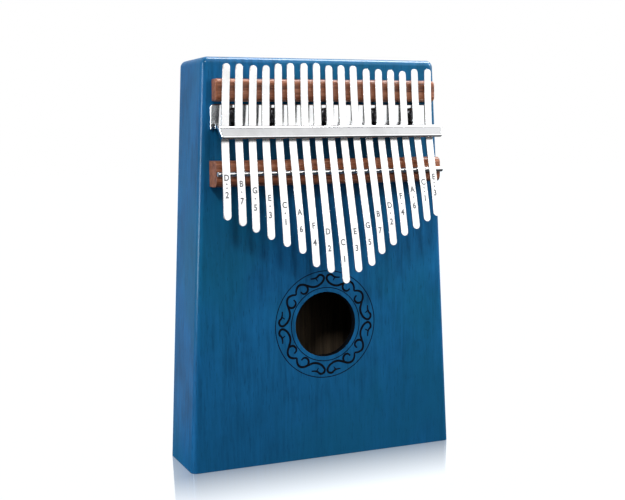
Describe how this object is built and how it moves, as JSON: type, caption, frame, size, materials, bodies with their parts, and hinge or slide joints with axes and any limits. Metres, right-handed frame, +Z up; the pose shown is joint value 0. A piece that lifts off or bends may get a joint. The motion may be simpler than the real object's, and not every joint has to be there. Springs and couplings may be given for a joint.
{
  "type": "box thumb piano",
  "caption": "Box thumb piano: a hollow blue lacquered wooden body with a round sound hole, steel tines held under a chrome clamp bracket and a saddle with a steel rod.",
  "frame": {"origin": "middle of the foot face that the instrument stands on", "axes": "+Z up the instrument from its foot to the clamped ends of the tines, -Y out of the playing face, +X to the right seen from the front"},
  "size_m": [0.1316, 0.0586, 0.185],
  "materials": {
    "lacquered_wood": "blue stain under clear satin lacquer",
    "inner_wood": "bare planed softwood",
    "bar_wood": "reddish brown hardwood, oiled",
    "chrome_plate": "bright chrome plate",
    "tine_steel": "polished spring steel",
    "screw_steel": "dark finished steel"
  },
  "bodies": {
    "root": {"front_board": "lacquered_wood", "back_board": "lacquered_wood", "left_wall": "lacquered_wood", "right_wall": "lacquered_wood", "head_block": "lacquered_wood", "foot_block": "lacquered_wood", "clamp_brace": "inner_wood", "saddle_brace": "inner_wood", "rear_bar": "bar_wood", "clamp_bracket": "chrome_plate", "saddle_bar": "bar_wood", "saddle_rod": "chrome_plate", "flange_screw_1": "screw_steel", "flange_screw_2": "screw_steel", "flange_screw_3": "screw_steel", "flange_screw_4": "screw_steel", "flange_screw_5": "screw_steel"},
    "tine_01_shank": {"tine_01_shank": "tine_steel"},
    "tine_01_blade": {"tine_01_blade": "tine_steel"},
    "tine_02_shank": {"tine_02_shank": "tine_steel"},
    "tine_02_blade": {"tine_02_blade": "tine_steel"},
    "tine_03_shank": {"tine_03_shank": "tine_steel"},
    "tine_03_blade": {"tine_03_blade": "tine_steel"},
    "tine_04_shank": {"tine_04_shank": "tine_steel"},
    "tine_04_blade": {"tine_04_blade": "tine_steel"},
    "tine_05_shank": {"tine_05_shank": "tine_steel"},
    "tine_05_blade": {"tine_05_blade": "tine_steel"},
    "tine_06_shank": {"tine_06_shank": "tine_steel"},
    "tine_06_blade": {"tine_06_blade": "tine_steel"},
    "tine_07_shank": {"tine_07_shank": "tine_steel"},
    "tine_07_blade": {"tine_07_blade": "tine_steel"},
    "tine_08_shank": {"tine_08_shank": "tine_steel"},
    "tine_08_blade": {"tine_08_blade": "tine_steel"},
    "tine_09_shank": {"tine_09_shank": "tine_steel"},
    "tine_09_blade": {"tine_09_blade": "tine_steel"},
    "tine_10_shank": {"tine_10_shank": "tine_steel"},
    "tine_10_blade": {"tine_10_blade": "tine_steel"},
    "tine_11_shank": {"tine_11_shank": "tine_steel"},
    "tine_11_blade": {"tine_11_blade": "tine_steel"},
    "tine_12_shank": {"tine_12_shank": "tine_steel"},
    "tine_12_blade": {"tine_12_blade": "tine_steel"},
    "tine_13_shank": {"tine_13_shank": "tine_steel"},
    "tine_13_blade": {"tine_13_blade": "tine_steel"},
    "tine_14_shank": {"tine_14_shank": "tine_steel"},
    "tine_14_blade": {"tine_14_blade": "tine_steel"},
    "tine_15_shank": {"tine_15_shank": "tine_steel"},
    "tine_15_blade": {"tine_15_blade": "tine_steel"},
    "tine_16_shank": {"tine_16_shank": "tine_steel"},
    "tine_16_blade": {"tine_16_blade": "tine_steel"},
    "tine_17_shank": {"tine_17_shank": "tine_steel"},
    "tine_17_blade": {"tine_17_blade": "tine_steel"}
  },
  "joints": [
    {"name": "tine_01_tuning", "type": "slide", "parent": "root", "child": "tine_01_shank", "axis": [0.0537, 0.1252, 0.9907], "range_m": [-0.0015, 0.0015]},
    {"name": "tine_01_pluck", "type": "hinge", "parent": "tine_01_shank", "child": "tine_01_blade", "pos_m": [-0.05157, -0.03025, 0.1326], "axis": [1, 0, 0], "range_deg": [-3, 4], "stiffness_Nm_per_rad": 0.8},
    {"name": "tine_02_tuning", "type": "slide", "parent": "root", "child": "tine_02_shank", "axis": [0.0398, 0.1252, 0.9913], "range_m": [-0.0015, 0.0015]},
    {"name": "tine_02_pluck", "type": "hinge", "parent": "tine_02_shank", "child": "tine_02_blade", "pos_m": [-0.04507, -0.03025, 0.1326], "axis": [1, 0, 0], "range_deg": [-3, 4], "stiffness_Nm_per_rad": 0.8},
    {"name": "tine_03_tuning", "type": "slide", "parent": "root", "child": "tine_03_shank", "axis": [0.0485, 0.1252, 0.9909], "range_m": [-0.0015, 0.0015]},
    {"name": "tine_03_pluck", "type": "hinge", "parent": "tine_03_shank", "child": "tine_03_blade", "pos_m": [-0.03898, -0.03025, 0.1326], "axis": [1, 0, 0], "range_deg": [-3, 4], "stiffness_Nm_per_rad": 0.8},
    {"name": "tine_04_tuning", "type": "slide", "parent": "root", "child": "tine_04_shank", "axis": [0.0364, 0.1252, 0.9915], "range_m": [-0.0015, 0.0015]},
    {"name": "tine_04_pluck", "type": "hinge", "parent": "tine_04_shank", "child": "tine_04_blade", "pos_m": [-0.03251, -0.03025, 0.1326], "axis": [1, 0, 0], "range_deg": [-3, 4], "stiffness_Nm_per_rad": 0.8},
    {"name": "tine_05_tuning", "type": "slide", "parent": "root", "child": "tine_05_shank", "axis": [0.0173, 0.1253, 0.992], "range_m": [-0.0015, 0.0015]},
    {"name": "tine_05_pluck", "type": "hinge", "parent": "tine_05_shank", "child": "tine_05_blade", "pos_m": [-0.02591, -0.03025, 0.1326], "axis": [1, 0, 0], "range_deg": [-3, 4], "stiffness_Nm_per_rad": 0.8},
    {"name": "tine_06_tuning", "type": "slide", "parent": "root", "child": "tine_06_shank", "axis": [0.0017, 0.1253, 0.9921], "range_m": [-0.0015, 0.0015]},
    {"name": "tine_06_pluck", "type": "hinge", "parent": "tine_06_shank", "child": "tine_06_blade", "pos_m": [-0.01938, -0.03025, 0.1326], "axis": [1, 0, 0], "range_deg": [-3, 4], "stiffness_Nm_per_rad": 0.8},
    {"name": "tine_07_tuning", "type": "slide", "parent": "root", "child": "tine_07_shank", "axis": [0.0087, 0.1253, 0.9921], "range_m": [-0.0015, 0.0015]},
    {"name": "tine_07_pluck", "type": "hinge", "parent": "tine_07_shank", "child": "tine_07_blade", "pos_m": [-0.01326, -0.03025, 0.1326], "axis": [1, 0, 0], "range_deg": [-3, 4], "stiffness_Nm_per_rad": 0.8},
    {"name": "tine_08_tuning", "type": "slide", "parent": "root", "child": "tine_08_shank", "axis": [0, 0.1253, 0.9921], "range_m": [-0.0015, 0.0015]},
    {"name": "tine_08_pluck", "type": "hinge", "parent": "tine_08_shank", "child": "tine_08_blade", "pos_m": [-0.00685, -0.03025, 0.1326], "axis": [1, 0, 0], "range_deg": [-3, 4], "stiffness_Nm_per_rad": 0.8},
    {"name": "tine_09_tuning", "type": "slide", "parent": "root", "child": "tine_09_shank", "axis": [-0.0087, 0.1253, 0.9921], "range_m": [-0.0015, 0.0015]},
    {"name": "tine_09_pluck", "type": "hinge", "parent": "tine_09_shank", "child": "tine_09_blade", "pos_m": [-0.00044, -0.03025, 0.1326], "axis": [1, 0, 0], "range_deg": [-3, 4], "stiffness_Nm_per_rad": 0.8},
    {"name": "tine_10_tuning", "type": "slide", "parent": "root", "child": "tine_10_shank", "axis": [-0.0156, 0.1253, 0.992], "range_m": [-0.0015, 0.0015]},
    {"name": "tine_10_pluck", "type": "hinge", "parent": "tine_10_shank", "child": "tine_10_blade", "pos_m": [0.00593, -0.03025, 0.1326], "axis": [1, 0, 0], "range_deg": [-3, 4], "stiffness_Nm_per_rad": 0.8},
    {"name": "tine_11_tuning", "type": "slide", "parent": "root", "child": "tine_11_shank", "axis": [-0.026, 0.1253, 0.9918], "range_m": [-0.0015, 0.0015]},
    {"name": "tine_11_pluck", "type": "hinge", "parent": "tine_11_shank", "child": "tine_11_blade", "pos_m": [0.01237, -0.03025, 0.1326], "axis": [1, 0, 0], "range_deg": [-3, 4], "stiffness_Nm_per_rad": 0.8},
    {"name": "tine_12_tuning", "type": "slide", "parent": "root", "child": "tine_12_shank", "axis": [-0.0173, 0.1253, 0.992], "range_m": [-0.0015, 0.0015]},
    {"name": "tine_12_pluck", "type": "hinge", "parent": "tine_12_shank", "child": "tine_12_blade", "pos_m": [0.01846, -0.03025, 0.1326], "axis": [1, 0, 0], "range_deg": [-3, 4], "stiffness_Nm_per_rad": 0.8},
    {"name": "tine_13_tuning", "type": "slide", "parent": "root", "child": "tine_13_shank", "axis": [-0.019, 0.1253, 0.9919], "range_m": [-0.0015, 0.0015]},
    {"name": "tine_13_pluck", "type": "hinge", "parent": "tine_13_shank", "child": "tine_13_blade", "pos_m": [0.02474, -0.03025, 0.1326], "axis": [1, 0, 0], "range_deg": [-3, 4], "stiffness_Nm_per_rad": 0.8},
    {"name": "tine_14_tuning", "type": "slide", "parent": "root", "child": "tine_14_shank", "axis": [-0.0208, 0.1253, 0.9919], "range_m": [-0.0015, 0.0015]},
    {"name": "tine_14_pluck", "type": "hinge", "parent": "tine_14_shank", "child": "tine_14_blade", "pos_m": [0.03103, -0.03025, 0.1326], "axis": [1, 0, 0], "range_deg": [-3, 4], "stiffness_Nm_per_rad": 0.8},
    {"name": "tine_15_tuning", "type": "slide", "parent": "root", "child": "tine_15_shank", "axis": [-0.026, 0.1253, 0.9918], "range_m": [-0.0015, 0.0015]},
    {"name": "tine_15_pluck", "type": "hinge", "parent": "tine_15_shank", "child": "tine_15_blade", "pos_m": [0.03737, -0.03025, 0.1326], "axis": [1, 0, 0], "range_deg": [-3, 4], "stiffness_Nm_per_rad": 0.8},
    {"name": "tine_16_tuning", "type": "slide", "parent": "root", "child": "tine_16_shank", "axis": [-0.0242, 0.1253, 0.9918], "range_m": [-0.0015, 0.0015]},
    {"name": "tine_16_pluck", "type": "hinge", "parent": "tine_16_shank", "child": "tine_16_blade", "pos_m": [0.04359, -0.03025, 0.1326], "axis": [1, 0, 0], "range_deg": [-3, 4], "stiffness_Nm_per_rad": 0.8},
    {"name": "tine_17_tuning", "type": "slide", "parent": "root", "child": "tine_17_shank", "axis": [0, 0.1253, 0.9921], "range_m": [-0.0015, 0.0015]},
    {"name": "tine_17_pluck", "type": "hinge", "parent": "tine_17_shank", "child": "tine_17_blade", "pos_m": [0.0494, -0.03025, 0.1326], "axis": [1, 0, 0], "range_deg": [-3, 4], "stiffness_Nm_per_rad": 0.8}
  ]
}
